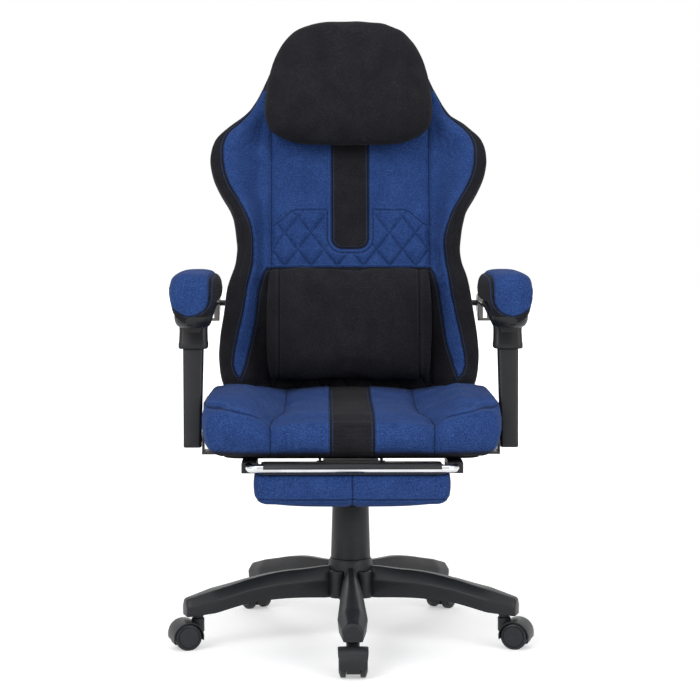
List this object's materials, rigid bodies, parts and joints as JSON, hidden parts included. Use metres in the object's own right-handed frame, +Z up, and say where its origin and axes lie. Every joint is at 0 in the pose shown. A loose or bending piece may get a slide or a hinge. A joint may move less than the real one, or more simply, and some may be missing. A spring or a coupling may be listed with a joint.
{
  "type": "gaming chair",
  "caption": "Racing-style gaming chair with winged fabric backrest, head and lumbar pillows, linked armrests, slide-out footrest and five-star base on twin-wheel casters.",
  "frame": {"origin": "on the floor, under the middle of the part's length and width", "axes": "+Z up, -Y towards the chair's front, +X to the right as seen from the front"},
  "size_m": [0.6866, 0.7787, 1.1862],
  "materials": {
    "black_fabric": "knitted black fabric",
    "blue_fabric": "heathered blue fabric",
    "black_nylon": "moulded black nylon",
    "black_steel": "black coated steel",
    "grey_steel": "grey coated steel",
    "chrome": "polished",
    "board": "plywood under black dust cloth"
  },
  "bodies": {
    "base": {"star_base": "black_nylon", "gas_cylinder": "black_steel", "column_cover_lower": "black_nylon"},
    "cover_middle": {"column_cover_middle": "black_nylon"},
    "lift": {"gas_rod": "chrome"},
    "mechanism": {"tilt_housing": "black_steel", "column_cover_upper": "black_nylon"},
    "knob": {"tension_knob": "black_nylon"},
    "height_lever": {"height_lever": "black_nylon"},
    "seat": {"tilt_plate": "black_steel", "seat_board": "board", "seat_cushion": "blue_fabric", "recline_bracket_left": "black_steel", "recline_bracket_right": "black_steel", "arm_mount_left": "black_steel", "arm_mount_right": "black_steel", "footrest_guide_left": "black_nylon", "footrest_guide_right": "black_nylon"},
    "back": {"recline_yoke": "black_steel", "backrest_shell": "black_fabric", "backrest_cushion": "blue_fabric", "lumbar_pillow": "black_fabric", "headrest_pillow": "black_fabric", "headrest_strap": "black_fabric", "lumbar_strap": "black_fabric"},
    "recline_lever": {"recline_lever": "black_nylon"},
    "footrest_frame": {"footrest_frame": "chrome"},
    "footrest_pad": {"footrest_board": "black_nylon", "footrest_pad": "blue_fabric"},
    "caster_1": {"caster_stem_1": "black_steel", "caster_hood_1": "black_nylon"},
    "wheel_1a": {"caster_wheel_1a": "black_nylon"},
    "wheel_1b": {"caster_wheel_1b": "black_nylon"},
    "caster_2": {"caster_stem_2": "black_steel", "caster_hood_2": "black_nylon"},
    "wheel_2a": {"caster_wheel_2a": "black_nylon"},
    "wheel_2b": {"caster_wheel_2b": "black_nylon"},
    "caster_3": {"caster_stem_3": "black_steel", "caster_hood_3": "black_nylon"},
    "wheel_3a": {"caster_wheel_3a": "black_nylon"},
    "wheel_3b": {"caster_wheel_3b": "black_nylon"},
    "caster_4": {"caster_stem_4": "black_steel", "caster_hood_4": "black_nylon"},
    "wheel_4a": {"caster_wheel_4a": "black_nylon"},
    "wheel_4b": {"caster_wheel_4b": "black_nylon"},
    "caster_5": {"caster_stem_5": "black_steel", "caster_hood_5": "black_nylon"},
    "wheel_5a": {"caster_wheel_5a": "black_nylon"},
    "wheel_5b": {"caster_wheel_5b": "black_nylon"},
    "arm_left": {"arm_bracket_left": "grey_steel", "arm_shell_left": "black_nylon", "arm_pad_left": "blue_fabric"},
    "post_left": {"arm_post_left": "black_nylon"},
    "arm_right": {"arm_bracket_right": "grey_steel", "arm_shell_right": "black_nylon", "arm_pad_right": "blue_fabric"},
    "post_right": {"arm_post_right": "black_nylon"}
  },
  "joints": [
    {"name": "caster_swivel_1", "type": "hinge", "parent": "base", "child": "caster_1", "pos_m": [0, -0.33607, 0.07], "axis": [0, 0, 1], "continuous": true},
    {"name": "wheel_roll_1a", "type": "hinge", "parent": "caster_1", "child": "wheel_1a", "pos_m": [0, -0.35907, 0.02469], "axis": [1, 0, 0], "continuous": true},
    {"name": "wheel_roll_1b", "type": "hinge", "parent": "caster_1", "child": "wheel_1b", "pos_m": [0, -0.35907, 0.02469], "axis": [1, 0, 0], "continuous": true},
    {"name": "caster_swivel_2", "type": "hinge", "parent": "base", "child": "caster_2", "pos_m": [0.28532, -0.12877, 0.07], "axis": [0, 0, 1], "continuous": true},
    {"name": "wheel_roll_2a", "type": "hinge", "parent": "caster_2", "child": "wheel_2a", "pos_m": [0.30719, -0.13588, 0.02469], "axis": [0.309, 0.9511, 0], "continuous": true},
    {"name": "wheel_roll_2b", "type": "hinge", "parent": "caster_2", "child": "wheel_2b", "pos_m": [0.30719, -0.13588, 0.02469], "axis": [0.309, 0.9511, 0], "continuous": true},
    {"name": "caster_swivel_3", "type": "hinge", "parent": "base", "child": "caster_3", "pos_m": [0.17634, 0.20664, 0.07], "axis": [0, 0, 1], "continuous": true},
    {"name": "wheel_roll_3a", "type": "hinge", "parent": "caster_3", "child": "wheel_3a", "pos_m": [0.18985, 0.22525, 0.02469], "axis": [-0.809, 0.5878, 0], "continuous": true},
    {"name": "wheel_roll_3b", "type": "hinge", "parent": "caster_3", "child": "wheel_3b", "pos_m": [0.18985, 0.22525, 0.02469], "axis": [-0.809, 0.5878, 0], "continuous": true},
    {"name": "caster_swivel_4", "type": "hinge", "parent": "base", "child": "caster_4", "pos_m": [-0.17634, 0.20664, 0.07], "axis": [0, 0, 1], "continuous": true},
    {"name": "wheel_roll_4a", "type": "hinge", "parent": "caster_4", "child": "wheel_4a", "pos_m": [-0.18985, 0.22525, 0.02469], "axis": [-0.809, -0.5878, 0], "continuous": true},
    {"name": "wheel_roll_4b", "type": "hinge", "parent": "caster_4", "child": "wheel_4b", "pos_m": [-0.18985, 0.22525, 0.02469], "axis": [-0.809, -0.5878, 0], "continuous": true},
    {"name": "caster_swivel_5", "type": "hinge", "parent": "base", "child": "caster_5", "pos_m": [-0.28532, -0.12877, 0.07], "axis": [0, 0, 1], "continuous": true},
    {"name": "wheel_roll_5a", "type": "hinge", "parent": "caster_5", "child": "wheel_5a", "pos_m": [-0.30719, -0.13588, 0.02469], "axis": [0.309, -0.9511, 0], "continuous": true},
    {"name": "wheel_roll_5b", "type": "hinge", "parent": "caster_5", "child": "wheel_5b", "pos_m": [-0.30719, -0.13588, 0.02469], "axis": [0.309, -0.9511, 0], "continuous": true},
    {"name": "gas_lift", "type": "slide", "parent": "base", "child": "lift", "axis": [0, 0, 1], "range_m": [0, 0.08]},
    {"name": "cover_slide", "type": "slide", "parent": "base", "child": "cover_middle", "axis": [0, 0, 1], "range_m": [0, 0.04]},
    {"name": "seat_swivel", "type": "hinge", "parent": "lift", "child": "mechanism", "pos_m": [0, -0.03607, 0.3], "axis": [0, 0, 1], "continuous": true},
    {"name": "knob_turn", "type": "hinge", "parent": "mechanism", "child": "knob", "pos_m": [0, -0.08707, 0.3], "axis": [0, 0, 1], "continuous": true},
    {"name": "height_lever_lift", "type": "hinge", "parent": "mechanism", "child": "height_lever", "pos_m": [-0.0268, -0.03107, 0.326], "axis": [0, 1, 0], "range_deg": [0, 5], "stiffness_Nm_per_rad": 1.5, "springref_deg": -8.59},
    {"name": "seat_tilt", "type": "hinge", "parent": "mechanism", "child": "seat", "pos_m": [0, -0.05607, 0.336], "axis": [-1, 0, 0], "range_deg": [0, 10], "stiffness_Nm_per_rad": 150, "springref_deg": -34.38},
    {"name": "back_recline", "type": "hinge", "parent": "seat", "child": "back", "pos_m": [0, 0.21893, 0.425], "axis": [-1, 0, 0], "range_deg": [0, 35]},
    {"name": "recline_lever_lift", "type": "hinge", "parent": "seat", "child": "recline_lever", "pos_m": [-0.23, 0.21893, 0.425], "axis": [-1, 0, 0], "range_deg": [0, 25], "stiffness_Nm_per_rad": 0.3, "springref_deg": -22.92},
    {"name": "footrest_slide", "type": "slide", "parent": "seat", "child": "footrest_frame", "axis": [0, -1, 0], "range_m": [0, 0.25]},
    {"name": "footrest_flip", "type": "hinge", "parent": "footrest_frame", "child": "footrest_pad", "pos_m": [0, -0.29107, 0.3575], "axis": [-1, 0, 0], "range_deg": [0, 180]},
    {"name": "arm_level_left", "type": "hinge", "parent": "back", "child": "arm_left", "pos_m": [-0.2635, 0.26072, 0.62161], "axis": [-1, 0, 0], "range_deg": [-35, 0]},
    {"name": "post_swing_left", "type": "hinge", "parent": "seat", "child": "post_left", "pos_m": [-0.295, -0.09807, 0.388], "axis": [-1, 0, 0], "range_deg": [0, 35]},
    {"name": "arm_level_right", "type": "hinge", "parent": "back", "child": "arm_right", "pos_m": [0.2635, 0.26072, 0.62161], "axis": [-1, 0, 0], "range_deg": [-35, 0]},
    {"name": "post_swing_right", "type": "hinge", "parent": "seat", "child": "post_right", "pos_m": [0.295, -0.09807, 0.388], "axis": [-1, 0, 0], "range_deg": [0, 35]}
  ],
  "couplings": [
    {"joint": "cover_slide", "follows": "gas_lift", "ratio": 0.5},
    {"joint": "arm_level_left", "follows": "back_recline", "ratio": -1},
    {"joint": "post_swing_left", "follows": "back_recline", "ratio": 1},
    {"joint": "arm_level_right", "follows": "back_recline", "ratio": -1},
    {"joint": "post_swing_right", "follows": "back_recline", "ratio": 1}
  ]
}
